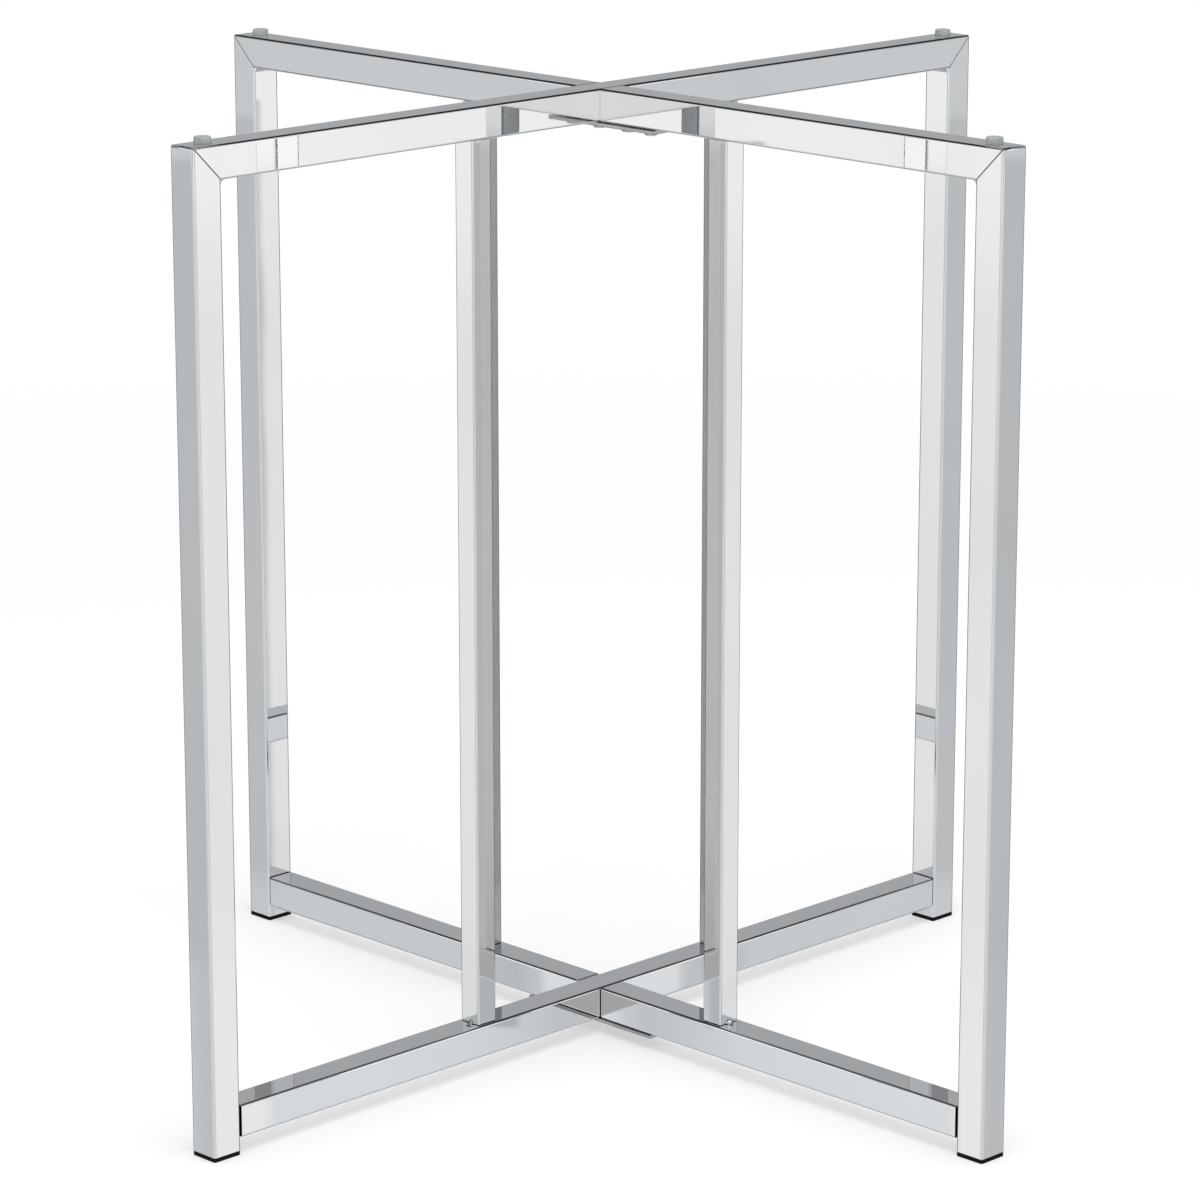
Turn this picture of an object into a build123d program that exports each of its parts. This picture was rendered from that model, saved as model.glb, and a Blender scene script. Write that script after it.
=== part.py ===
from build123d import *
import os

# A chromed table base of square steel tube. One frame runs right across, and two half frames
# butt against it to make a cross. Each arm of the cross has an outer leg, a slimmer inner post,
# and a top and a bottom rail. A plate under each crossing bolts the three frames together.
# The origin is on the floor under the crossing. X runs along the main frame, Y along the half frames.

# Overall sizes in millimetres
frame_span = 814.0
rail_top_height = 745.0
bottom_rail_clearance = 13.0
post_distance = 131.0

# Frame tube: legs and rails
tube_size = 25.0
tube_wall = 1.2
tube_corner = 1.8
mitre_corner_round = 1.4

# Post tube
post_size = 19.0
post_wall = 1.0
post_corner = 1.5
post_weld_width = 6.4
post_weld_height = 3.6
post_weld_ridge = 2.6

# Joining plates and where their bolts stand along the half frames
plate_length = 136.0
plate_thickness = 3.0
inner_bolt_distance = 30.0
outer_bolt_distance = 54.0

# Button head bolts
bolt_diameter = 6.0
bolt_length = 14.0
bolt_head_diameter = 10.5
bolt_head_height = 3.3
bolt_head_rim = 1.5
bolt_crown_diameter = 6.8
bolt_socket_width = 4.0
bolt_socket_depth = 2.0
bolt_hole_clearance = 0.6

# Six-sided threaded inserts pressed into the undersides of the rails
insert_width = 9.0
insert_flange_width = 11.0
insert_flange_thickness = 0.5
insert_length = 13.0
insert_hole_clearance = 0.1
thread_clearance = 0.1

# Plastic feet pushed into the open ends of the legs
foot_flange_thickness = 3.0
foot_plug_depth = 15.0
foot_plug_wall = 1.8
foot_fin_depth = 1.3
foot_fin_thickness = 1.2
foot_fin_pitch = 4.0
foot_fit_clearance = 0.1

# Clear bumpers that carry the table top
bumper_diameter = 12.7
bumper_height = 5.0
bumper_inset = 19.0

# Levels and reaches that follow from the sizes above
leg_reach = frame_span / 2
leg_center = leg_reach - tube_size / 2
top_rail_underside = rail_top_height - tube_size
bottom_rail_top = bottom_rail_clearance + tube_size
crossing_half = tube_size / 2
bolt_places = [-outer_bolt_distance, -inner_bolt_distance, 0, inner_bolt_distance, outer_bolt_distance]
half_rail_bolts = [inner_bolt_distance, outer_bolt_distance]
main_rail_bolts = [0]
foot_fin_count = int(foot_plug_depth // foot_fin_pitch)
punch_length = 4 * tube_wall
bolt_drop = insert_flange_thickness + plate_thickness

# Turn of each arm of the cross about the vertical
main_turn = 0
half_turn = 90
arms = {"right": 0, "rear": 90, "left": 180, "front": 270}
half_arms = {"rear": 90, "front": 270}


def tube(size, wall, corner, length):
    """Square tube with rounded outer corners, standing on the origin."""
    bore = size - 2 * wall
    section = RectangleRounded(size, size, corner) - Rectangle(bore, bore)
    return extrude(section, length)


def frame_tube(length):
    return tube(tube_size, tube_wall, tube_corner, length)


def hexagon(width):
    """Six-sided outline, given across its flats."""
    return RegularPolygon(width / 2, 6, major_radius=False)


def rail(start, end, middle_height):
    """Frame tube lying along X between two distances from the centre."""
    return Pos(start, 0, middle_height) * Rot(0, 90, 0) * frame_tube(end - start)


def mitre_plane():
    """Cut between the leg and the top rail on the right arm, facing down and outwards."""
    return Plane(origin=(leg_reach, 0, rail_top_height), z_dir=(1, 0, -1))


def rounded_corner_waste():
    """What dressing the welded mitre takes off the outer top corner of the right arm."""
    past = 2 * tube_size
    block = Box(past, past, past, align=(Align.MIN, Align.CENTER, Align.MIN))
    roller = Rot(90, 0, 0) * Cylinder(mitre_corner_round, past)
    corner = Pos(leg_reach - mitre_corner_round, 0, rail_top_height - mitre_corner_round)
    return corner * (block - roller)


def insert_holes(distances, underside, turn):
    """Punches for the threaded inserts through the underside of a rail."""
    punch = extrude(hexagon(insert_width + insert_hole_clearance), punch_length / 2, both=True)
    return [Pos(distance, 0, underside) * Rot(0, 0, turn) * punch for distance in distances]


def leg():
    """Outer leg of the right arm, mitred at the top."""
    blank = Pos(leg_center, 0, foot_flange_thickness) * frame_tube(rail_top_height - foot_flange_thickness)
    return split(blank, bisect_by=mitre_plane(), keep=Keep.TOP) - rounded_corner_waste()


def half_top_rail():
    """Top rail of one half frame, square at the crossing and mitred at the leg."""
    blank = rail(crossing_half, leg_reach, rail_top_height - tube_size / 2)
    mitred = split(blank, bisect_by=mitre_plane(), keep=Keep.BOTTOM) - rounded_corner_waste()
    return mitred - insert_holes(half_rail_bolts, top_rail_underside, half_turn)


def half_bottom_rail():
    """Bottom rail of one half frame, square at both ends."""
    blank = rail(crossing_half, leg_reach - tube_size, bottom_rail_clearance + tube_size / 2)
    return blank - insert_holes(half_rail_bolts, bottom_rail_clearance, half_turn)


def main_top_rail():
    """Unbroken top rail of the main frame, mitred at both ends."""
    body = rail(-leg_reach, leg_reach, rail_top_height - tube_size / 2)
    for turn in (0, 180):
        body = Rot(0, 0, turn) * body
        body = split(body, bisect_by=mitre_plane(), keep=Keep.BOTTOM) - rounded_corner_waste()
    return body - insert_holes(main_rail_bolts, top_rail_underside, main_turn)


def main_bottom_rail():
    """Unbroken bottom rail of the main frame, square at both ends."""
    blank = rail(tube_size - leg_reach, leg_reach - tube_size, bottom_rail_clearance + tube_size / 2)
    return blank - insert_holes(main_rail_bolts, bottom_rail_clearance, main_turn)


def post():
    """Inner post of the right arm, between the two rails."""
    blank = tube(post_size, post_wall, post_corner, top_rail_underside - bottom_rail_top)
    return Pos(post_distance, 0, bottom_rail_top) * blank


def post_weld():
    """Plated weld bead at the foot of the right arm's post, on its outer face."""
    foot_edge = Axis((0, 0, 0), (0, 1, 0))
    side = post_weld_width / 2
    ridge = post_weld_ridge / 2
    outline = Polygon((0, -side), (post_weld_height, -ridge), (post_weld_height, ridge), (0, side), align=None)
    return Pos(post_distance + post_size / 2, 0, bottom_rail_top) * revolve(outline, foot_edge, -90)


def foot():
    """Plastic foot of the right arm: a flange under the leg and a finned plug inside it."""
    bore = tube_size - 2 * tube_wall
    fin_size = bore - 2 * foot_fit_clearance
    core_size = fin_size - 2 * foot_fin_depth
    hollow_size = core_size - 2 * foot_plug_wall
    flange = extrude(RectangleRounded(tube_size, tube_size, tube_corner), foot_flange_thickness)
    core = extrude(Rectangle(core_size, core_size), foot_plug_depth)
    solid = flange + Pos(0, 0, foot_flange_thickness) * core
    fin = extrude(Rectangle(fin_size, fin_size), foot_fin_thickness)
    for step in range(1, foot_fin_count + 1):
        solid += Pos(0, 0, foot_flange_thickness + step * foot_fin_pitch - foot_fin_thickness) * fin
    hollow = extrude(Rectangle(hollow_size, hollow_size), foot_plug_depth)
    solid -= Pos(0, 0, foot_flange_thickness) * hollow
    return Pos(leg_center, 0, 0) * solid


def bumper():
    """Clear round bumper on the top of the right arm."""
    disc = extrude(Circle(bumper_diameter / 2), bumper_height)
    return Pos(leg_reach - bumper_inset, 0, rail_top_height) * disc


def joining_plate(rail_underside):
    """Flat bar under a crossing, along the half frames, held off the rails by the insert flanges."""
    outline = Rectangle(tube_size, plate_length)
    hole = Circle((bolt_diameter + bolt_hole_clearance) / 2)
    for place in bolt_places:
        outline -= Pos(0, place) * hole
    return Pos(0, 0, rail_underside - bolt_drop) * extrude(outline, plate_thickness)


def bolt():
    """Button head bolt, shank up, with its head bearing at the origin from below."""
    rim = bolt_head_diameter / 2
    crown = bolt_crown_diameter / 2
    shank = bolt_diameter / 2
    outline = Polyline(
        (0, -bolt_head_height),
        (0, bolt_length),
        (shank, bolt_length),
        (shank, 0),
        (rim, 0),
        (rim, -bolt_head_rim),
        (crown, -bolt_head_height),
        close=True,
    )
    body = revolve(Plane.XZ * make_face(outline), Axis.Z)
    socket = extrude(hexagon(bolt_socket_width), bolt_socket_depth)
    return body - Pos(0, 0, -bolt_head_height) * socket


def threaded_insert():
    """Threaded insert with its flange at the origin and its barrel standing up inside the rail."""
    body = extrude(hexagon(insert_flange_width), insert_flange_thickness)
    body += extrude(hexagon(insert_width), insert_length)
    return body - extrude(Circle((bolt_diameter + thread_clearance) / 2), insert_length)


def at_bolts(piece, drop):
    """One copy of a fastener at each bolt place, under both crossings, a drop below the rails."""
    undersides = (bottom_rail_clearance, top_rail_underside)
    return Compound(
        children=[Pos(0, place, level - drop) * piece for level in undersides for place in bolt_places]
    )


def turned(piece, turn):
    return Rot(0, 0, turn) * piece


def save(name, shape):
    export_step(shape, os.path.join("parts", name + ".step"))


os.makedirs("parts", exist_ok=True)

save("main_top_rail", main_top_rail())
save("main_bottom_rail", main_bottom_rail())
for arm, turn in half_arms.items():
    save(arm + "_top_rail", turned(half_top_rail(), turn))
    save(arm + "_bottom_rail", turned(half_bottom_rail(), turn))

for arm, turn in arms.items():
    save(arm + "_leg", turned(leg(), turn))
    save(arm + "_post", turned(post(), turn))
    save(arm + "_foot", turned(foot(), turn))
    save(arm + "_bumper", turned(bumper(), turn))
save("post_weld_beads", Compound(children=[turned(post_weld(), turn) for turn in arms.values()]))

save("upper_joining_plate", joining_plate(top_rail_underside))
save("lower_joining_plate", joining_plate(bottom_rail_clearance))
save("threaded_inserts", at_bolts(threaded_insert(), insert_flange_thickness))
save("plate_bolts", at_bolts(bolt(), bolt_drop))
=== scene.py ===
import math
import bmesh
import bpy
from mathutils import Matrix, Vector, noise


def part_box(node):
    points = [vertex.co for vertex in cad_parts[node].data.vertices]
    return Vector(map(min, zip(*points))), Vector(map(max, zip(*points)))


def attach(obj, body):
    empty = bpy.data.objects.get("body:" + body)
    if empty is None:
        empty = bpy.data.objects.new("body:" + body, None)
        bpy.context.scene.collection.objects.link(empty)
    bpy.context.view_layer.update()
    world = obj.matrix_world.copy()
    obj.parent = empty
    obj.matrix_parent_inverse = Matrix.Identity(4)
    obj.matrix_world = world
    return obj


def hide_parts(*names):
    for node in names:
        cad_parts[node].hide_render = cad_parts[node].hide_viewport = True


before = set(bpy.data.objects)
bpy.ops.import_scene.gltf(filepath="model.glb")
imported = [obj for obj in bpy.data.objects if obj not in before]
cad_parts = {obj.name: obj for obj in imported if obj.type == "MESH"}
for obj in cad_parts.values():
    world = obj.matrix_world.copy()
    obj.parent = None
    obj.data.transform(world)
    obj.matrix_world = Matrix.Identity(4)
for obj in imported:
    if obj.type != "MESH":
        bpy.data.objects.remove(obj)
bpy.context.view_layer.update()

scene = bpy.context.scene
scene.view_settings.view_transform = "Standard"
scene.cycles.max_bounces = 16  # the posts mirror each other many times
scene.cycles.glossy_bounces = 14
armTurns = {"right": 0, "rear": 90, "left": 180, "front": 270}  # degrees about the vertical
print("frame loaded,", len(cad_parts), "nodes")


# shader nodes

cloudLow, cloudHigh = 0.3, 0.7  # most values of a cloud texture lie between these
mixFirst, mixSecond, mixResult = 6, 7, 2  # colour sockets of the Mix node


def cloudNode(tree, place, scale, detail=2.0):
    cloud = tree.nodes.new("ShaderNodeTexNoise")
    cloud.inputs["Scale"].default_value = scale
    cloud.inputs["Detail"].default_value = detail
    tree.links.new(place, cloud.inputs["Vector"])
    return cloud.outputs["Fac"]


def rampNode(tree, value, stops):
    ramp = tree.nodes.new("ShaderNodeValToRGB")
    marks = ramp.color_ramp.elements
    while len(marks) < len(stops):
        marks.new(0.5)  # anywhere, since all are placed below
    for mark, (place, colour) in zip(marks, stops):
        mark.position = place
        mark.color = (*colour, 1) if isinstance(colour, tuple) else greyColour(colour)
    tree.links.new(value, ramp.inputs["Fac"])
    return ramp.outputs["Color"]


def stepNode(tree, value, start, end, low=0.0, high=1.0):  # runs from low to high between start and end
    step = tree.nodes.new("ShaderNodeMapRange")
    for name, number in (("From Min", start), ("From Max", end), ("To Min", low), ("To Max", high)):
        step.inputs[name].default_value = number
    tree.links.new(value, step.inputs["Value"])
    return step.outputs["Result"]


def bumpNode(tree, height, depth, under=None):
    bump = tree.nodes.new("ShaderNodeBump")
    bump.inputs["Distance"].default_value = depth
    tree.links.new(height, bump.inputs["Height"])
    if under:
        tree.links.new(under, bump.inputs["Normal"])
    return bump.outputs["Normal"]


def mathNode(tree, operation, first, second=None):
    node = tree.nodes.new("ShaderNodeMath")
    node.operation = operation
    for socket, value in zip(node.inputs, (first, second)):
        if value is None:
            continue
        if isinstance(value, (int, float)):
            socket.default_value = value
        else:
            tree.links.new(value, socket)
    return node.outputs[0]


def mixNode(tree, amount, first, second):
    mix = tree.nodes.new("ShaderNodeMix")
    mix.data_type = "RGBA"
    tree.links.new(amount, mix.inputs["Factor"])
    tree.links.new(first, mix.inputs[mixFirst])
    if isinstance(second, tuple):
        mix.inputs[mixSecond].default_value = second
    else:
        tree.links.new(second, mix.inputs[mixSecond])
    return mix.outputs[mixResult]


def lightPath(tree, names):  # 1 for any of the named kinds of ray
    path = tree.nodes.new("ShaderNodeLightPath")
    value = path.outputs[names[0]]
    for name in names[1:]:
        value = mathNode(tree, "MAXIMUM", value, path.outputs[name])
    return value


def greyColour(level):
    return (level, level, level, 1)


# finishes

def newFinish(name):
    finish = bpy.data.materials.new(name)
    finish.use_nodes = True
    tree = finish.node_tree
    coords = tree.nodes.new("ShaderNodeTexCoord")
    return finish, tree, tree.nodes["Principled BSDF"], coords.outputs["Object"]


def plating(name, look):  # bright plated metal: tint clouds, polish haze, long ripple, fine grain
    finish, tree, shader, place = newFinish(name)
    shader.inputs["Metallic"].default_value = 1.0
    clouds = cloudNode(tree, place, look["tintScale"])
    tint = rampNode(tree, clouds, [(cloudLow, look["dark"]), (cloudHigh, look["light"])])
    if "paintedHighlights" in look:  # light patches of matt white, painted highlights on the weld
        tree.links.new(rampNode(tree, clouds, look["paintedHighlights"]), shader.inputs["Metallic"])
    wisps = cloudNode(tree, place, look["hazeScale"], detail=4.0)
    haze = stepNode(tree, wisps, cloudLow, cloudHigh, look["smooth"], look["rough"])
    ripple = bumpNode(tree, cloudNode(tree, place, look["rippleScale"], detail=1.0), look["rippleDepth"])
    grain = bumpNode(tree, cloudNode(tree, place, look["grainScale"]), look["grainDepth"], ripple)
    tree.links.new(tint, shader.inputs["Base Color"])
    tree.links.new(haze, shader.inputs["Roughness"])
    tree.links.new(grain, shader.inputs["Normal"])
    return finish


frameChromeLook = {
    "dark": (0.808, 0.812, 0.817), "light": (0.846, 0.851, 0.856), "tintScale": 5.0,
    "hazeScale": 26.0, "smooth": 0.004, "rough": 0.018,
    "rippleScale": 13.0, "rippleDepth": 0.00003,
    "grainScale": 900.0, "grainDepth": 0.0000006,
}
postShadePaintLook = {  # painted shade: a darker, duller copy of the chrome for the inner faces of the posts, which mirror one another
    "dark": (0.47, 0.483, 0.49), "light": (0.53, 0.543, 0.55), "tintScale": 5.0,
    "hazeScale": 26.0, "smooth": 0.20, "rough": 0.26,
    "rippleScale": 13.0, "rippleDepth": 0.00003,
    "grainScale": 900.0, "grainDepth": 0.0000006,
}
plateChromeLook = {
    "dark": (0.36, 0.365, 0.375), "light": (0.50, 0.505, 0.515), "tintScale": 60.0,
    "hazeScale": 90.0, "smooth": 0.06, "rough": 0.16,
    "rippleScale": 40.0, "rippleDepth": 0.00005,
    "grainScale": 1400.0, "grainDepth": 0.000002,
}
# painted reflections and highlights: tints from near black to white paint the bead's dark and bright reflections,
# and matt white patches paint its highlights
weldGlintPaintLook = {
    "dark": (0.10, 0.095, 0.085), "light": (0.99, 0.985, 0.97), "tintScale": 420.0,
    "paintedHighlights": [(0.50, 1.0), (0.56, 0.0)],
    "hazeScale": 500.0, "smooth": 0.02, "rough": 0.07,
    "rippleScale": 620.0, "rippleDepth": 0.0012,
    "grainScale": 2600.0, "grainDepth": 0.000004,
}
boltZincLook = {
    "dark": (0.42, 0.435, 0.46), "light": (0.62, 0.625, 0.61), "tintScale": 260.0,
    "hazeScale": 420.0, "smooth": 0.10, "rough": 0.24,
    "rippleScale": 700.0, "rippleDepth": 0.00003,
    "grainScale": 3000.0, "grainDepth": 0.000003,
}
insertSteelLook = {
    "dark": (0.44, 0.44, 0.42), "light": (0.58, 0.58, 0.56), "tintScale": 300.0,
    "hazeScale": 500.0, "smooth": 0.28, "rough": 0.45,
    "rippleScale": 800.0, "rippleDepth": 0.00003,
    "grainScale": 3000.0, "grainDepth": 0.000004,
}
jointShadePaintLook = {  # painted shade: cut ends in the joints' gaps, which the plating hardly reaches, painted near black as the gaps' shade
    "dark": (0.008, 0.008, 0.009), "light": (0.03, 0.029, 0.027), "tintScale": 220.0,
    "hazeScale": 400.0, "smooth": 0.42, "rough": 0.62,
    "rippleScale": 300.0, "rippleDepth": 0.00003,
    "grainScale": 2400.0, "grainDepth": 0.000004,
}
frameChrome = plating("frameChrome", frameChromeLook)
plateChrome = plating("plateChrome", plateChromeLook)
weldGlintPaint = plating("weldGlintPaint", weldGlintPaintLook)
boltZinc = plating("boltZinc", boltZincLook)
insertSteel = plating("insertSteel", insertSteelLook)
jointShadePaint = plating("jointShadePaint", jointShadePaintLook)
postShadePaint = plating("postShadePaint", postShadePaintLook)

footPlasticLook = {
    "dark": (0.003, 0.003, 0.0035), "light": (0.009, 0.009, 0.010), "tintScale": 180.0,
    "smooth": 0.34, "rough": 0.52, "sheenScale": 360.0, "gloss": 0.08,
    "grainScale": 1500.0, "grainDepth": 0.00005,
}
bumperClearLook = {
    "dark": (0.47, 0.49, 0.485), "light": (0.55, 0.57, 0.565), "tintScale": 240.0,
    "smooth": 0.12, "rough": 0.20, "sheenScale": 480.0, "gloss": 0.5, "clear": 0.35, "bend": 1.47,
    "grainScale": 600.0, "grainDepth": 0.000004,
}


def mouldedPlastic(name, look):
    finish, tree, shader, place = newFinish(name)
    clouds = cloudNode(tree, place, look["tintScale"], detail=3.0)
    tint = rampNode(tree, clouds, [(cloudLow, look["dark"]), (cloudHigh, look["light"])])
    patches = cloudNode(tree, place, look["sheenScale"])
    sheen = stepNode(tree, patches, cloudLow, cloudHigh, look["smooth"], look["rough"])
    grain = bumpNode(tree, cloudNode(tree, place, look["grainScale"]), look["grainDepth"])
    shader.inputs["Specular IOR Level"].default_value = look["gloss"]
    tree.links.new(tint, shader.inputs["Base Color"])
    tree.links.new(sheen, shader.inputs["Roughness"])
    tree.links.new(grain, shader.inputs["Normal"])
    return finish


def clearVinyl(name, look):
    finish = mouldedPlastic(name, look)
    shader = finish.node_tree.nodes["Principled BSDF"]
    shader.inputs["Transmission Weight"].default_value = look["clear"]
    shader.inputs["IOR"].default_value = look["bend"]
    return finish


footPlastic = mouldedPlastic("footPlastic", footPlasticLook)
bumperClear = clearVinyl("bumperClear", bumperClearLook)
print("finishes ready:", len(bpy.data.materials))


# shared modelling steps

mergeDistance = 0.000002
flatTolerance = 0.00001  # a face this close to a plane lies in it
flatCosine = 0.99
sliver = 0.000005  # a cut that would take off less than this is left out
rimSteps = 2  # segments of a very small rounding
endZone = 0.034  # length at each end of a bar that its cuts and seams may change
jointShadeIndex, postShadeIndex = 1, 2  # places of the other finishes in a piece's list
upwards = (0, 0, 1)


def everything(bm):
    return bm.verts[:] + bm.edges[:] + bm.faces[:]


def vertsOf(geometry):
    return [part for part in geometry if isinstance(part, bmesh.types.BMVert)]


def edgesOf(geometry):
    return [part for part in geometry if isinstance(part, bmesh.types.BMEdge)]


def finishPiece(bm, name, finish, nodes, crease=50, otherFinishes=()):
    bmesh.ops.remove_doubles(bm, verts=bm.verts, dist=mergeDistance)
    bmesh.ops.recalc_face_normals(bm, faces=bm.faces)
    for face in bm.faces:
        face.smooth = True
    for edge in bm.edges:
        edge.smooth = len(edge.link_faces) == 2 and edge.calc_face_angle(0) < math.radians(crease)
    mesh = bpy.data.meshes.new(name)
    bm.to_mesh(mesh)
    bm.free()
    for material in (finish, *otherFinishes):
        mesh.materials.append(material)
    piece = bpy.data.objects.new(name, mesh)
    scene.collection.objects.link(piece)
    weighted = piece.modifiers.new("flatFaces", "WEIGHTED_NORMAL")  # keeps the flats flat beside their round edges
    weighted.keep_sharp = True
    weighted.weight = 100
    weighted.thresh = 0.00001  # small enough to tell these faces' areas apart
    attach(piece, "root")
    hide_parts(*nodes)
    return piece


def joinInto(bm, part):  # adds one mesh to another and lets it go
    mesh = bpy.data.meshes.new("part")
    part.to_mesh(mesh)
    part.free()
    bm.from_mesh(mesh)
    bpy.data.meshes.remove(mesh)


def turnPiece(bm, degrees):
    turn = Matrix.Rotation(math.radians(degrees), 3, "Z")
    bmesh.ops.rotate(bm, verts=bm.verts, cent=(0, 0, 0), matrix=turn)


def roundEdges(bm, edges, offset, segments):
    bmesh.ops.bevel(bm, geom=edges, offset=offset, offset_type="OFFSET", segments=segments,
                    profile=0.5, affect="EDGES", material=-1)


def boxBetween(low, high):
    bm = bmesh.new()
    bmesh.ops.create_cube(bm, size=1.0)
    bmesh.ops.scale(bm, vec=high - low, verts=bm.verts)
    bmesh.ops.translate(bm, vec=(low + high) / 2, verts=bm.verts)
    return bm


def edgesAlong(bm, axis, length):  # edges that run along an axis for at least half a length
    return [e for e in bm.edges if abs(e.verts[0].co[axis] - e.verts[1].co[axis]) > length / 2]


def squareBar(low, high, corner, cornerSteps):
    bm = boxBetween(low, high)
    size = high - low
    along = max(range(3), key=lambda axis: size[axis])
    roundEdges(bm, edgesAlong(bm, along, size[along]), corner, cornerSteps)
    out = Vector([1 if axis == along else 0 for axis in range(3)])
    for ring in (low + out * endZone, high - out * endZone):  # keep the ends from shading the whole length
        bmesh.ops.bisect_plane(bm, geom=everything(bm), plane_co=ring, plane_no=out)
    return bm


def cutOff(bm, point, normal):  # takes off what lies beyond the plane and closes the cut
    cut = bmesh.ops.bisect_plane(bm, geom=everything(bm), plane_co=point, plane_no=normal, clear_outer=True)
    bmesh.ops.edgeloop_fill(bm, edges=edgesOf(cut["geom_cut"]))


def facesAt(bm, point, normal):
    bm.normal_update()
    normal = Vector(normal).normalized()
    point = Vector(point)
    return [f for f in bm.faces
            if abs((f.calc_center_median() - point).dot(normal)) < flatTolerance
            and abs(f.normal.dot(normal)) > flatCosine]


def rimAt(bm, point, normal):  # edges round the faces in a plane
    return list(dict.fromkeys(e for f in facesAt(bm, point, normal) for e in f.edges))


def breakEnd(bm, point, normal, offset):  # small rounding round a cut end, which makes the joint show as a line
    roundEdges(bm, rimAt(bm, point, normal), offset, rimSteps)


def paintJointShade(bm, point, normal):  # paints a cut end near black: unplated steel, painted as the shade in its joint gap
    for face in facesAt(bm, point, normal):
        face.material_index = jointShadeIndex


# square tube frames

tubeLook = {
    "corner": 0.0018, "cornerSteps": 6, "wall": 0.0012,
    "mitreGap": 0.00025, "mitreBreak": 0.00035,
    "buttGap": 0.0014, "buttBreak": 0.0002,
    "topCrossGap": 0.00006, "topCrossBreak": 0.0003,
    "lowCrossGap": 0.0007, "lowCrossBreak": 0.0008,
    "outerRound": 0.0022, "roundCuts": 8,
    "pocket": 0.022, "footGap": 0.0003, "footBreak": 0.0003,
}
postLook = {"corner": 0.0015, "cornerSteps": 6, "gap": 0.00035, "break": 0.0004, "postShadeFrom": -0.25}
filletLook = {"radius": 0.0036, "steps": 8, "shy": 0.0003, "round": 0.0012, "roundSteps": 3, "bury": 0.0006}

legLow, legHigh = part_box("right_leg")
legHigh.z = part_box("main_top_rail")[1].z  # the dressed corner of the leg itself ends a little lower
reach, railTop = legHigh.x, legHigh.z
mitreEdge = Vector((reach, 0, railTop))
mitreDown = Vector((1, 0, -1)).normalized()  # from the rail into the leg


def tubeBar(low, high):
    return squareBar(low, high, tubeLook["corner"], tubeLook["cornerSteps"])


def dressCorner(bm):  # rounds the outer top corner that leg and rail share, one flat at a time
    radius = tubeLook["outerRound"]
    centre = Vector((reach - radius, 0, railTop - radius))
    for cut in range(1, tubeLook["roundCuts"]):
        angle = math.radians(90 * cut / tubeLook["roundCuts"])
        out = Vector((math.cos(angle), 0, math.sin(angle)))
        point = centre + out * radius
        if max((v.co - point).dot(out) for v in bm.verts) > sliver:
            cutOff(bm, point, out)
    for vert in bm.verts:  # the rounding of the seam may not stand proud of the tube
        vert.co.x = min(vert.co.x, reach)


def weldFillet():  # weld that rounds the inner corner of the mitre
    inner, underside = legLow.x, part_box("main_top_rail")[0].z
    radius, bury = filletLook["radius"], filletLook["bury"]
    half = legHigh.y - filletLook["shy"]
    bm = bmesh.new()
    ends = [bm.verts.new((inner, -half, underside - radius)), bm.verts.new((inner, half, underside - radius))]
    first = bm.edges.new(ends)
    centre = (inner - radius, 0, underside - radius)
    swept = bmesh.ops.spin(bm, geom=ends + [first], cent=centre, axis=(0, 1, 0), angle=math.radians(-90),
                           steps=filletLook["steps"])["geom_last"]
    last = edgesOf(swept)[0]
    arcs = [e for e in bm.edges if abs(e.verts[0].co.y - e.verts[1].co.y) < half]
    for edge in (first, last):  # both sides run back to one line inside the tubes
        pulled = bmesh.ops.extrude_edge_only(bm, edges=[edge])["geom"]
        for vert in vertsOf(pulled):
            vert.co.x, vert.co.z = inner + bury, underside + bury
    bmesh.ops.remove_doubles(bm, verts=bm.verts, dist=mergeDistance)
    bmesh.ops.holes_fill(bm, edges=[e for e in bm.edges if e.is_boundary], sides=0)
    roundEdges(bm, arcs, filletLook["round"], filletLook["roundSteps"])
    return bm


def makeLeg(arm):
    bm = tubeBar(legLow, legHigh)
    seam = mitreEdge + mitreDown * tubeLook["mitreGap"]
    cutOff(bm, seam, -mitreDown)
    breakEnd(bm, seam, mitreDown, tubeLook["mitreBreak"])
    dressCorner(bm)
    end = legLow + Vector(upwards) * tubeLook["footGap"]
    cutOff(bm, end, -Vector(upwards))
    breakEnd(bm, end, upwards, tubeLook["footBreak"])
    sole = facesAt(bm, end, upwards)  # becomes the open end that takes the foot
    bmesh.ops.inset_region(bm, faces=sole, thickness=tubeLook["wall"], use_even_offset=True)
    pocket = bmesh.ops.extrude_face_region(bm, geom=sole)["geom"]
    bmesh.ops.delete(bm, geom=sole, context="FACES")
    bmesh.ops.translate(bm, verts=vertsOf(pocket), vec=(0, 0, tubeLook["pocket"]))
    joinInto(bm, weldFillet())
    turnPiece(bm, armTurns[arm])
    return finishPiece(bm, arm + "Leg", frameChrome, [arm + "_leg"])


def mitreRail(bm):  # mitres the right hand end of a top rail
    seam = mitreEdge - mitreDown * tubeLook["mitreGap"]
    cutOff(bm, seam, mitreDown)
    breakEnd(bm, seam, mitreDown, tubeLook["mitreBreak"])
    dressCorner(bm)


def buttEnd(bm, along, side, joint, paintShade=True):  # draws an end back from its joint and rounds its rim
    out = Vector((side, 0, 0))
    point = Vector((along, 0, 0)) - out * tubeLook[joint + "Gap"]
    cutOff(bm, point, out)
    breakEnd(bm, point, out, tubeLook[joint + "Break"])
    # the drawn back end gets the painted joint shade
    if paintShade:
        paintJointShade(bm, point, out)


def makeMainTopRail():
    bm = tubeBar(*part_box("main_top_rail"))
    mitreRail(bm)
    turnPiece(bm, 180)
    mitreRail(bm)
    return finishPiece(bm, "mainTopRail", frameChrome, ["main_top_rail"])


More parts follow.
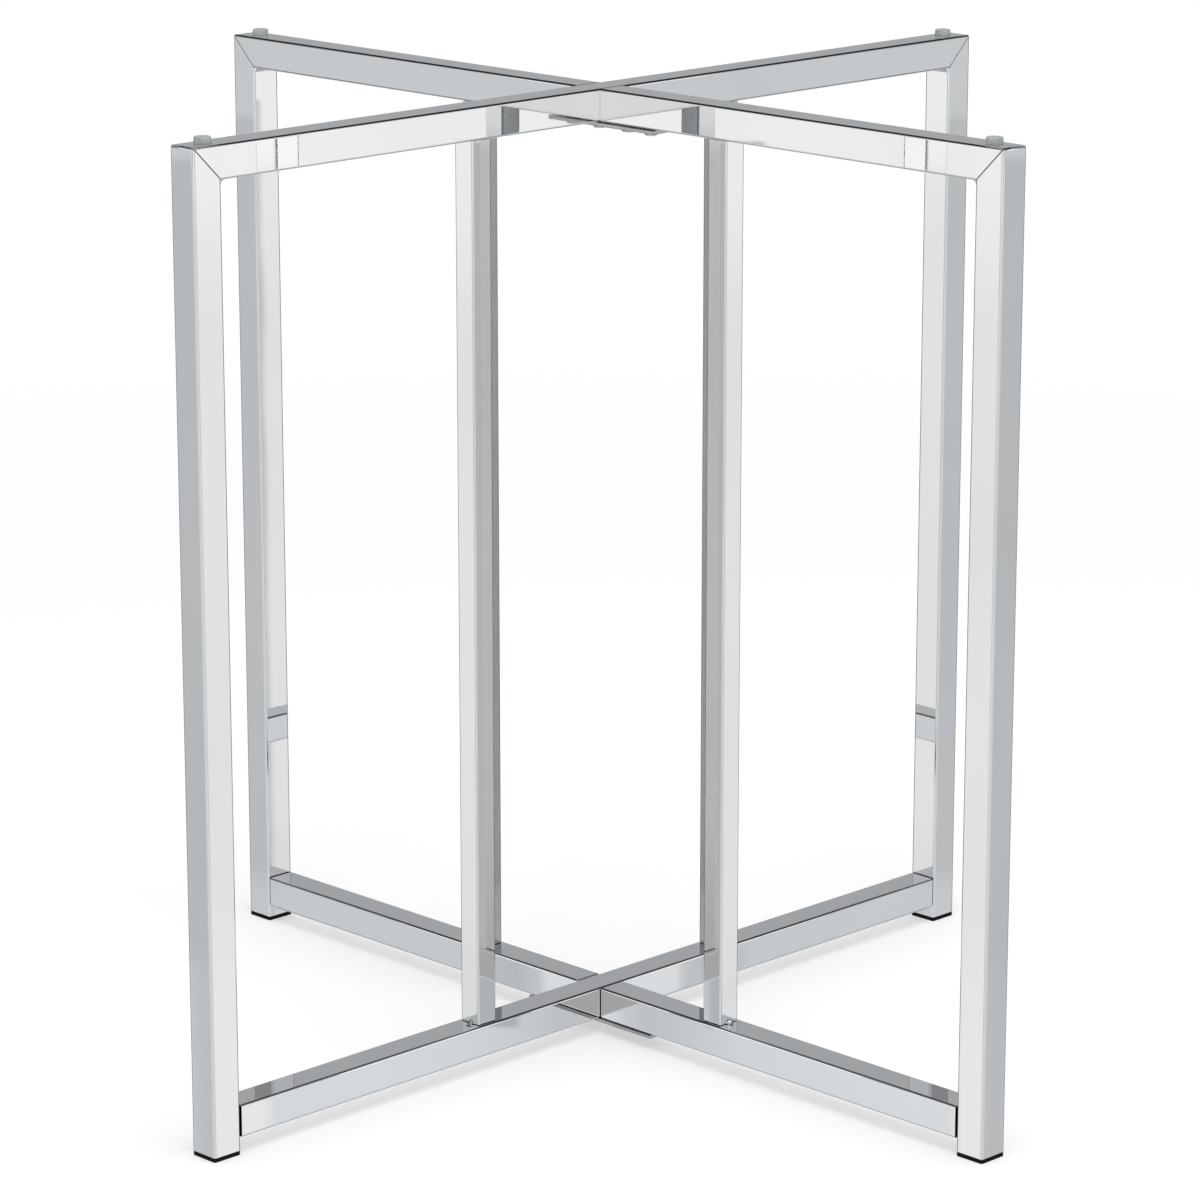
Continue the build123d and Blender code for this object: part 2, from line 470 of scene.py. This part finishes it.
def makeMainBottomRail():
    low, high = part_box("main_bottom_rail")
    bm = tubeBar(low, high)
    buttEnd(bm, high.x, 1, "butt")
    buttEnd(bm, low.x, -1, "butt")
    return finishPiece(bm, "mainBottomRail", frameChrome, ["main_bottom_rail"],
                       otherFinishes=[jointShadePaint])


def halfRailBox(node):  # the rear half rail's box, turned to lie along the right arm
    return [Vector((corner.y, corner.x, corner.z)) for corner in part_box(node)]


def makeHalfTopRail(arm):
    low, high = halfRailBox("rear_top_rail")
    bm = tubeBar(low, high)
    mitreRail(bm)
    buttEnd(bm, low.x, -1, "topCross", paintShade=False)
    turnPiece(bm, armTurns[arm])
    return finishPiece(bm, arm + "TopRail", frameChrome, [arm + "_top_rail"])


def makeHalfBottomRail(arm):
    low, high = halfRailBox("rear_bottom_rail")
    bm = tubeBar(low, high)
    buttEnd(bm, low.x, -1, "lowCross")
    buttEnd(bm, high.x, 1, "butt")
    turnPiece(bm, armTurns[arm])
    return finishPiece(bm, arm + "BottomRail", frameChrome, [arm + "_bottom_rail"],
                       otherFinishes=[jointShadePaint])


def makePost(arm):
    low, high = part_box("right_post")
    bm = squareBar(low, high, postLook["corner"], postLook["cornerSteps"])
    for level, out in ((low.z + postLook["gap"], -1), (high.z - postLook["gap"], 1)):
        cutOff(bm, (0, 0, level), (0, 0, out))
        breakEnd(bm, (0, 0, level), upwards, postLook["break"])
        # both ends of the post get the painted joint shade
        paintJointShade(bm, (0, 0, level), upwards)
    bm.normal_update()
    for face in bm.faces:
        if face.normal.x < postLook["postShadeFrom"]:  # looks at the crossing, with its rounded corners, and takes the painted shade
            face.material_index = postShadeIndex
    turnPiece(bm, armTurns[arm])
    return finishPiece(bm, arm + "Post", frameChrome, [arm + "_post"],
                       otherFinishes=[jointShadePaint, postShadePaint])


makeMainTopRail()
makeMainBottomRail()
for halfArm in ("rear", "front"):
    makeHalfTopRail(halfArm)
    makeHalfBottomRail(halfArm)
for arm in armTurns:
    makeLeg(arm)
    makePost(arm)
print("tube frames made")


# weld beads at the feet of the posts

weldLook = {"height": 0.0036, "width": 0.0064, "detail": 5, "lump": 0.0009, "lumpScale": 560.0, "crease": 70}


def weldBead(seed):  # a lumpy quarter ball in the corner at the origin
    bm = bmesh.new()
    bmesh.ops.create_icosphere(bm, subdivisions=weldLook["detail"], radius=1.0)
    size = Vector((weldLook["height"], weldLook["width"] / 2, weldLook["height"]))
    bmesh.ops.scale(bm, vec=size, verts=bm.verts)
    cutOff(bm, (0, 0, 0), (-1, 0, 0))
    cutOff(bm, (0, 0, 0), (0, 0, -1))
    for vert in bm.verts:  # lumps move straight out from the corner, so both cuts stay flat
        lump = noise.noise(vert.co * weldLook["lumpScale"] + Vector((seed, 0, 0)))
        vert.co += vert.co.normalized() * lump * weldLook["lump"]
    widest = [max(abs(vert.co[axis]) for vert in bm.verts) for axis in range(3)]
    fit = Vector([part / whole for part, whole in zip(size, widest)])
    bmesh.ops.scale(bm, vec=fit, verts=bm.verts)  # the lumps stay inside the bead's own size
    return bm


def makeWeldBeads():
    postLow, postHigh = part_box("right_post")
    corner = Vector((postHigh.x, 0, postLow.z))
    bm = bmesh.new()
    for degrees in armTurns.values():
        bead = weldBead(degrees)
        bmesh.ops.translate(bead, verts=bead.verts, vec=corner)
        turnPiece(bead, degrees)
        joinInto(bm, bead)
    return finishPiece(bm, "postWeldBeads", weldGlintPaint, ["post_weld_beads"],
                       crease=weldLook["crease"])


makeWeldBeads()
print("weld beads made")


# joining plates and their bolts

plateLook = {"edge": 0.0008, "edgeSteps": 4}
boltLook = {
    "segments": 48, "headRadius": 0.00525, "rim": 0.0007, "domeSteps": 7, "crownRadius": 0.0027,
    "headHeight": 0.0033, "socketFlat": 0.002, "socketDepth": 0.002, "crease": 35,
    "places": (-0.054, -0.030, 0.0, 0.030, 0.054),
    "turn": 300.0,  # radians per metre of place, so that the sockets don't line up
}


def makePlate(level):
    bm = boxBetween(*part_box(level + "_joining_plate"))
    roundEdges(bm, bm.edges[:], plateLook["edge"], plateLook["edgeSteps"])
    return finishPiece(bm, level + "JoiningPlate", plateChrome, [level + "_joining_plate"])


def pullLoop(bm, rim, drop, radiusAt):  # extrudes a ring of edges, moves it down and sets its radius
    pulled = bmesh.ops.extrude_edge_only(bm, edges=rim)["geom"]
    verts = vertsOf(pulled)
    for vert in verts:
        angle = math.atan2(vert.co.y, vert.co.x)
        vert.co.x, vert.co.y = radiusAt(angle) * math.cos(angle), radiusAt(angle) * math.sin(angle)
        vert.co.z -= drop
    return [e for e in edgesOf(pulled) if all(v in verts for v in e.verts)]


def sixSided(angle):  # radius of the socket at an angle
    return boltLook["socketFlat"] / math.cos((angle % math.radians(60)) - math.radians(30))


def boltHead():
    bm = bmesh.new()
    rimRadius, crownRadius = boltLook["headRadius"], boltLook["crownRadius"]
    bmesh.ops.create_circle(bm, cap_ends=False, segments=boltLook["segments"], radius=rimRadius)
    bearing = bm.edges[:]
    rim = pullLoop(bm, bearing, boltLook["rim"], lambda angle: rimRadius)
    depth = boltLook["headHeight"] - boltLook["rim"]
    done = 0
    for step in range(1, boltLook["domeSteps"] + 1):  # quarter round from the rim to the crown
        bend = math.radians(90 * step / boltLook["domeSteps"])
        radius = crownRadius + (rimRadius - crownRadius) * math.cos(bend)
        drop = depth * math.sin(bend)
        rim = pullLoop(bm, rim, drop - done, lambda angle, r=radius: r)
        done = drop
    rim = pullLoop(bm, rim, 0, sixSided)
    rim = pullLoop(bm, rim, -boltLook["socketDepth"], sixSided)
    bmesh.ops.edgeloop_fill(bm, edges=rim)
    bmesh.ops.edgeloop_fill(bm, edges=bearing)
    return bm


def makeBolts():
    bm = bmesh.new()
    for level in ("lower", "upper"):
        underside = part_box(level + "_joining_plate")[0].z
        for place in boltLook["places"]:
            head = boltHead()
            turn = Matrix.Rotation(place * boltLook["turn"], 4, "Z")
            head.transform(Matrix.Translation((0, place, underside)) @ turn)
            joinInto(bm, head)
    return finishPiece(bm, "plateBolts", boltZinc, ["plate_bolts"], crease=boltLook["crease"])


makePlate("upper")
makePlate("lower")
makeBolts()
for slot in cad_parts["threaded_inserts"].material_slots:
    slot.material = insertSteel
print("plates and bolts made")


# plastic feet and clear bumpers

footLook = {
    "flange": 0.003, "corner": 0.0018, "cornerSteps": 6, "sole": 0.0005, "soleSteps": 4, "lip": 0.00012,
    "core": 0.0199, "fin": 0.0224, "finThick": 0.0012, "finPitch": 0.004, "fins": 3, "plugWall": 0.0018,
    "crease": 55,
}
bumperLook = {
    "segments": 64, "draft": 0.0003, "topRound": 0.0008, "topSteps": 4, "footRound": 0.0002,
    "dish": 0.0022, "dishDepth": 0.00018, "crease": 60,
}


def pullFace(bm, face, rise=0.0, grow=1.0):  # extrudes a square face upwards and scales it about its middle
    pulled = bmesh.ops.extrude_face_region(bm, geom=[face])["geom"]
    bmesh.ops.delete(bm, geom=[face], context="FACES_ONLY")
    verts = vertsOf(pulled)
    middle = sum((v.co for v in verts), Vector()) / len(verts)
    bmesh.ops.scale(bm, verts=verts, vec=(grow, grow, 1), space=Matrix.Translation(-middle))
    bmesh.ops.translate(bm, verts=verts, vec=(0, 0, rise))
    return next(part for part in pulled if isinstance(part, bmesh.types.BMFace))


def footPlug(middle, floor, roof):  # finned, hollow plug that holds the foot in the leg
    bm = bmesh.new()
    bmesh.ops.create_grid(bm, x_segments=1, y_segments=1, size=footLook["core"] / 2)
    bmesh.ops.translate(bm, verts=bm.verts, vec=(middle, 0, floor))
    face = bm.faces[:][0]
    flare = footLook["fin"] / footLook["core"]
    for _ in range(footLook["fins"]):
        face = pullFace(bm, face, rise=footLook["finPitch"] - footLook["finThick"])
        face = pullFace(bm, face, grow=flare)
        face = pullFace(bm, face, rise=footLook["finThick"])
        face = pullFace(bm, face, grow=1 / flare)
    face = pullFace(bm, face, rise=roof - floor - footLook["fins"] * footLook["finPitch"])
    face = pullFace(bm, face, grow=1 - 2 * footLook["plugWall"] / footLook["core"])
    pullFace(bm, face, rise=floor - roof)
    bmesh.ops.holes_fill(bm, edges=[e for e in bm.edges if e.is_boundary], sides=0)
    return bm


def makeFoot(arm):
    low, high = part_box("right_foot")
    flangeTop = low.z + footLook["flange"]
    bm = boxBetween(low, Vector((high.x, high.y, flangeTop)))
    uprights = edgesAlong(bm, axis=2, length=footLook["flange"])
    roundEdges(bm, uprights, footLook["corner"], footLook["cornerSteps"])
    roundEdges(bm, rimAt(bm, low, upwards), footLook["sole"], footLook["soleSteps"])
    roundEdges(bm, rimAt(bm, (0, 0, flangeTop), upwards), footLook["lip"], rimSteps)
    joinInto(bm, footPlug((low.x + high.x) / 2, flangeTop, high.z))
    turnPiece(bm, armTurns[arm])
    return finishPiece(bm, arm + "Foot", footPlastic, [arm + "_foot"], crease=footLook["crease"])


def makeBumper(arm):
    low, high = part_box("right_bumper")
    radius = (high.x - low.x) / 2
    bm = bmesh.new()
    bmesh.ops.create_cone(bm, cap_ends=True, segments=bumperLook["segments"], depth=high.z - low.z,
                          radius1=radius, radius2=radius - bumperLook["draft"])
    bmesh.ops.translate(bm, verts=bm.verts, vec=(low + high) / 2)
    roundEdges(bm, rimAt(bm, high, upwards), bumperLook["topRound"], bumperLook["topSteps"])
    roundEdges(bm, rimAt(bm, low, upwards), bumperLook["footRound"], rimSteps)
    bmesh.ops.inset_region(bm, faces=facesAt(bm, high, upwards), thickness=bumperLook["dish"],
                           depth=-bumperLook["dishDepth"])
    turnPiece(bm, armTurns[arm])
    return finishPiece(bm, arm + "Bumper", bumperClear, [arm + "_bumper"],
                       crease=bumperLook["crease"])


for arm in armTurns:
    makeFoot(arm)
    makeBumper(arm)
print("feet and bumpers made")


# studio: white surround, pale floor that keeps the shadow, grey cards that only the metal sees

surroundLook = {"seen": 1.0, "soft": 0.86}  # soft is the level of the surround as a light


def makeSurround():
    world = bpy.data.worlds.new("surround")
    scene.world = world
    world.use_nodes = True
    tree = world.node_tree
    background = tree.nodes["Background"]
    seen = lightPath(tree, ["Is Camera Ray", "Is Glossy Ray", "Is Transmission Ray"])
    level = stepNode(tree, seen, 0.0, 1.0, surroundLook["soft"], surroundLook["seen"])
    background.inputs["Color"].default_value = greyColour(1)
    tree.links.new(level, background.inputs["Strength"])


floorLook = {"radius": 3.2, "segments": 96, "colour": 0.94, "glow": 0.45, "fadeFrom": 1.3, "fadeTo": 2.8}


def mixShader(tree, amount, first, second):
    mix = tree.nodes.new("ShaderNodeMixShader")
    tree.links.new(amount, mix.inputs["Fac"])
    tree.links.new(first, mix.inputs[1])
    tree.links.new(second, mix.inputs[2])
    return mix.outputs["Shader"]


def makeFloor():
    bm = bmesh.new()
    bmesh.ops.create_circle(bm, cap_ends=True, segments=floorLook["segments"], radius=floorLook["radius"])
    mesh = bpy.data.meshes.new("floor")
    bm.to_mesh(mesh)
    bm.free()
    floor = bpy.data.objects.new("floor", mesh)
    scene.collection.objects.link(floor)
    paleFloor, tree, shader, place = newFinish("paleFloor")
    tree.nodes.remove(shader)
    matt = tree.nodes.new("ShaderNodeBsdfDiffuse")
    matt.inputs["Color"].default_value = greyColour(floorLook["colour"])
    clear = tree.nodes.new("ShaderNodeBsdfTransparent")
    glow = tree.nodes.new("ShaderNodeEmission")
    glow.inputs["Color"].default_value = greyColour(1)
    away = tree.nodes.new("ShaderNodeVectorMath")
    away.operation = "LENGTH"
    tree.links.new(place, away.inputs[0])
    fade = stepNode(tree, away.outputs["Value"], floorLook["fadeFrom"], floorLook["fadeTo"])
    fade.node.interpolation_type = "SMOOTHSTEP"  # the floor runs out softly into the white surround
    side = tree.nodes.new("ShaderNodeNewGeometry")
    mirrored = lightPath(tree, ["Is Glossy Ray", "Is Transmission Ray"])  # metal and clear plastic look through it
    unseen = mathNode(tree, "MAXIMUM", mirrored, side.outputs["Backfacing"])  # and so does a view from below
    through = mathNode(tree, "MAXIMUM", fade, unseen)
    seen = lightPath(tree, ["Is Camera Ray"])
    ownWhite = mathNode(tree, "MULTIPLY", seen, floorLook["glow"])  # for the camera only, keeps the shadow faint
    pale = mixShader(tree, ownWhite, matt.outputs["BSDF"], glow.outputs["Emission"])
    surface = mixShader(tree, through, pale, clear.outputs["BSDF"])
    tree.links.new(surface, tree.nodes["Material Output"].inputs["Surface"])
    mesh.materials.append(paleFloor)


cardLook = {  # slope is height over the card's radius, behind runs from -1 at the camera to 1 at the back
    "radius": 6.0, "low": -9.0, "high": 9.6, "steps": 128,
    "turn": 45.0,  # degrees from the frame's X axis to the line of sight
    "rails": [(-0.345, 0.83), (-0.30, 0.89), (-0.10, 0.90), (-0.05, 1.0)],  # white sides, by slope
    "legs": [(-0.345, 0.95), (-0.30, 0.90), (-0.10, 0.91), (-0.05, 1.03)],
    "legsFrom": -0.1215, "legsTo": -0.1265,
    "side": 0.68, "sideFrom": -0.18, "sideTo": -0.30,  # towards the camera, beside the front card
    "front": [(-0.345, 1.0), (-0.06, 1.0), (-0.045, 1.27)], "frontFrom": -0.95, "frontTo": -0.975,
    "posts": 0.53, "postsLow": -0.3563, "postsHigh": -0.0425, "postsSoft": 0.001,  # grey band for the posts' sides
    "postsBehindLow": -0.052, "postsBehindHigh": -0.0375, "postsBehindSoft": 0.003,
    "lowRails": [(-0.09, 0.83), (-0.064, 0.81), (-0.045, 0.77), (-0.026, 0.67), (-0.012, 0.62), (0.0, 0.86)],
    "lowFrom": -0.332, "lowTo": -0.340,
    "strip": [(-0.34, 0.52), (-0.28, 0.66), (-0.046, 0.68), (-0.034, 0.95)],  # behind the camera, by slope
    "stripFrom": 0.100, "stripTo": 0.078,
    "greyStart": 0.019, "greyTopStart": -0.006, "greySoft": 0.0035,
    "topFrom": -0.0345, "topTo": -0.031,  # slopes above these are seen in the upper rails
    "grey": [(0.02, 0.575), (0.040, 0.575), (0.118, 0.60), (0.16, 0.55), (0.22, 0.14), (0.50, 0.12), (0.62, 0.08),
             (0.96, 0.08), (0.985, 0.85)],
    "greyTop": [(-0.01, 0.69), (0.12, 0.69), (0.16, 0.60), (0.22, 0.14), (0.50, 0.12), (0.62, 0.08),
                (0.96, 0.08), (0.985, 0.67)],
    "greyLow": [(0.022, 0.68), (0.029, 0.585), (0.037, 0.585), (0.045, 0.69), (0.112, 0.69), (0.16, 0.60),
                (0.22, 0.14), (0.50, 0.12), (0.62, 0.08), (0.96, 0.08), (0.985, 0.9)],
    "greyLowFrom": -0.295, "greyLowTo": -0.305,
    "back": 1.3, "backLow": -0.075, "backHigh": -0.052, "backSoft": 0.004,
    "backBehindFrom": 0.97, "backBehindTo": 0.985,  # mirrored twice, at the outer ends of the upper rails
    "greyHigh": [(-0.30, 0.50), (-0.15, 0.60), (0.07, 0.60), (0.10, 0.32), (0.55, 0.25), (0.70, 0.42)],
    "highFrom": 0.06, "highTo": 0.14,
    "greyTint": (0.972, 1.0, 1.028),
    "panel": 1.25, "panelLow": 0.02, "panelHigh": 0.25, "panelSoft": 0.02,  # bright strip that lights the edges
    "panelBehindLow": -0.15, "panelBehindHigh": 0.019, "panelBehindSoft": 0.004,
    "under": 0.42, "underFrom": -0.60, "underTo": -0.66,  # floor beyond the object
    "underBehindFrom": 0.15, "underBehindTo": 0.22,
    "black": 0.025, "darkFrom": 0.41, "darkTo": 0.58, "darkBehindFrom": 0.0, "darkBehindTo": 0.06,
}
rampMiddle = 0.5  # where zero lies on a colour ramp


def makeCards():
    bm = bmesh.new()
    radius = cardLook["radius"]
    ends = [bm.verts.new((radius, 0, cardLook["low"])), bm.verts.new((radius, 0, cardLook["high"]))]
    line = bm.edges.new(ends)
    bmesh.ops.spin(bm, geom=ends + [line], cent=(0, 0, 0), axis=upwards, angle=math.radians(360),
                   steps=cardLook["steps"], use_merge=True)
    mesh = bpy.data.meshes.new("greyCards")
    bm.to_mesh(mesh)
    bm.free()
    cards = bpy.data.objects.new("greyCards", mesh)
    scene.collection.objects.link(cards)
    cards.visible_camera = False
    cards.visible_diffuse = False
    cards.visible_shadow = False
    cards.visible_transmission = False
    cardGrey, tree, shader, place = newFinish("cardGrey")
    tree.nodes.remove(shader)
    turn = tree.nodes.new("ShaderNodeVectorRotate")
    turn.rotation_type = "Z_AXIS"
    turn.inputs["Angle"].default_value = math.radians(cardLook["turn"])
    tree.links.new(place, turn.inputs["Vector"])
    split = tree.nodes.new("ShaderNodeSeparateXYZ")
    tree.links.new(turn.outputs["Vector"], split.inputs["Vector"])
    behind = mathNode(tree, "DIVIDE", split.outputs["Y"], radius)
    aside = mathNode(tree, "ABSOLUTE", mathNode(tree, "DIVIDE", split.outputs["X"], radius))
    slope = mathNode(tree, "DIVIDE", split.outputs["Z"], radius)
    slopeOnRamp = mathNode(tree, "ADD", slope, rampMiddle)
    behindOnRamp = mathNode(tree, "ADD", mathNode(tree, "MULTIPLY", behind, rampMiddle), rampMiddle)

    def tinted(level):
        return tuple(level * tint for tint in cardLook["greyTint"])

    def bySlope(name):
        return rampNode(tree, slopeOnRamp, [(place + rampMiddle, level) for place, level in cardLook[name]])

    def byBehind(name):
        return rampNode(tree, behindOnRamp, [(place * rampMiddle + rampMiddle, tinted(level))
                                             for place, level in cardLook[name]])

    def both(first, second):
        return mathNode(tree, "MULTIPLY", first, second)

    def past(value, name):  # rises from 0 to 1 between two places
        return stepNode(tree, value, cardLook[name + "From"], cardLook[name + "To"])

    def within(value, name):  # 1 between two places, with soft ends
        low, high, soft = (cardLook[name + part] for part in ("Low", "High", "Soft"))
        return both(stepNode(tree, value, low - soft, low), stepNode(tree, value, high + soft, high))

    isTop = past(slope, "top")
    greyStart = stepNode(tree, isTop, 0.0, 1.0, cardLook["greyStart"], cardLook["greyTopStart"])
    isGrey = stepNode(tree, mathNode(tree, "SUBTRACT", behind, greyStart), 0.0, cardLook["greySoft"])
    isFront = past(behind, "front")
    isStrip = both(isFront, past(aside, "strip"))
    isPosts = both(within(behind, "postsBehind"), within(slope, "posts"))
    isPanel = both(within(slope, "panel"), within(behind, "panelBehind"))
    isBack = both(within(slope, "back"), past(behind, "backBehind"))
    isUnder = both(past(slope, "under"), past(behind, "underBehind"))
    isDark = both(past(slope, "dark"), past(behind, "darkBehind"))
    white = mixNode(tree, past(slope, "low"), bySlope("rails"), byBehind("lowRails"))
    white = mixNode(tree, past(behind, "legs"), white, bySlope("legs"))
    white = mixNode(tree, past(behind, "side"), white, greyColour(cardLook["side"]))
    white = mixNode(tree, isFront, white, bySlope("front"))
    white = mixNode(tree, isPosts, white, (*tinted(cardLook["posts"]), 1))
    grey = mixNode(tree, past(slope, "greyLow"), byBehind("grey"), byBehind("greyLow"))
    grey = mixNode(tree, isTop, grey, byBehind("greyTop"))
    grey = mixNode(tree, isBack, grey, greyColour(cardLook["back"]))
    shade = mixNode(tree, isGrey, white, grey)
    shade = mixNode(tree, isStrip, shade, bySlope("strip"))
    shade = mixNode(tree, past(slope, "high"), shade, byBehind("greyHigh"))
    shade = mixNode(tree, isPanel, shade, greyColour(cardLook["panel"]))
    shade = mixNode(tree, isUnder, shade, greyColour(cardLook["under"]))
    shade = mixNode(tree, isDark, shade, greyColour(cardLook["black"]))
    glow = tree.nodes.new("ShaderNodeEmission")
    tree.links.new(shade, glow.inputs["Color"])
    tree.links.new(glow.outputs["Emission"], tree.nodes["Material Output"].inputs["Surface"])
    mesh.materials.append(cardGrey)


lampLook = {"place": (-0.5, -0.9, 3.0), "aim": (0, 0, 0.4), "size": 2.6, "power": 42.0}


def makeLamp():
    light = bpy.data.lights.new("softLamp", "AREA")
    light.shape = "DISK"
    light.size = lampLook["size"]
    light.energy = lampLook["power"]
    lamp = bpy.data.objects.new("softLamp", light)
    lamp.location = lampLook["place"]
    lamp.rotation_euler = (Vector(lampLook["aim"]) - lamp.location).to_track_quat("-Z", "Y").to_euler()
    lamp.visible_glossy = False
    scene.collection.objects.link(lamp)


makeSurround()
makeFloor()
makeCards()
makeLamp()
print("studio set")


# camera at the photograph's angle, pitched down and not shifted

cameraLook = {"away": 3.5489, "height": 1.2694, "turn": 45.246, "pitch": 14.57, "lens": 142.95, "sensor": 36.0}


def makeCamera():
    lens = bpy.data.cameras.new("camera")
    lens.lens = cameraLook["lens"]
    lens.sensor_width = cameraLook["sensor"]
    camera = bpy.data.objects.new("camera", lens)
    turn = math.radians(cameraLook["turn"])
    ahead = Vector((math.cos(turn), math.sin(turn), 0))
    camera.location = Vector((0, 0, cameraLook["height"])) - ahead * cameraLook["away"]
    sight = ahead - Vector((0, 0, math.tan(math.radians(cameraLook["pitch"]))))
    camera.rotation_euler = sight.to_track_quat("-Z", "Y").to_euler()
    scene.collection.objects.link(camera)
    scene.camera = camera


makeCamera()
print("camera set")
